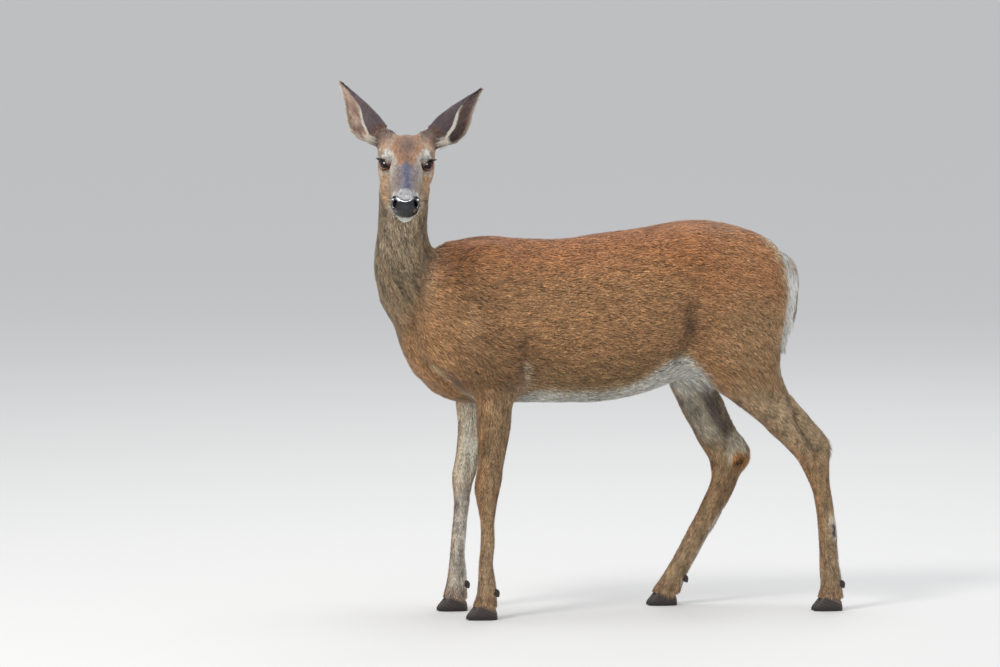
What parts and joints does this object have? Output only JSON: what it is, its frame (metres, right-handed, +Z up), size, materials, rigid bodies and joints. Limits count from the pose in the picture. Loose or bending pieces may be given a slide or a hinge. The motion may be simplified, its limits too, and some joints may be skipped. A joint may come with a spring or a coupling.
{
  "type": "white-tailed deer doe, life-size standing model",
  "caption": "Life-size model of a white-tailed deer doe in summer coat, standing with her head raised and turned to look over her left shoulder.",
  "frame": {"origin": "middle of the model's outline on the floor, at the level of the hoof soles", "axes": "+Z up; the body points along -X and her left side is -Y; she looks over her left shoulder, towards -Y"},
  "size_m": [1.1894, 0.434, 1.245],
  "materials": {
    "coat_body": "short summer coat, reddish brown above, white below, soft sheen",
    "coat_neck": "short grey-tan hair with darker streaks, pale throat",
    "coat_head": "very short hair, rufous crown, grey muzzle, pale eye rings",
    "coat_tail": "brown above, long white fringe",
    "coat_ear": "thin dark grey-brown hair outside, pale fringe",
    "coat_leg": "very short tan hair, whitish inside",
    "nose_leather": "damp, finely grained, semi-gloss",
    "eye": "wet gloss, near-black brown",
    "horn": "dark worn horn, satin"
  },
  "bodies": {
    "root": {"dewclaw_fore_left_inner": "horn", "dewclaw_fore_left_outer": "horn", "dewclaw_fore_right_inner": "horn", "dewclaw_fore_right_outer": "horn", "dewclaw_hind_left_inner": "horn", "dewclaw_hind_left_outer": "horn", "dewclaw_hind_right_inner": "horn", "dewclaw_hind_right_outer": "horn", "ear_left": "coat_ear", "ear_right": "coat_ear", "eye_left": "eye", "eye_right": "eye", "foreleg_left": "coat_leg", "foreleg_right": "coat_leg", "head": "coat_head", "hindleg_left": "coat_leg", "hindleg_right": "coat_leg", "hoof_fore_left_inner": "horn", "hoof_fore_left_outer": "horn", "hoof_fore_right_inner": "horn", "hoof_fore_right_outer": "horn", "hoof_hind_left_inner": "horn", "hoof_hind_left_outer": "horn", "hoof_hind_right_inner": "horn", "hoof_hind_right_outer": "horn", "neck": "coat_neck", "nose": "nose_leather", "tail": "coat_tail", "trunk": "coat_body"}
  },
  "joints": []
}
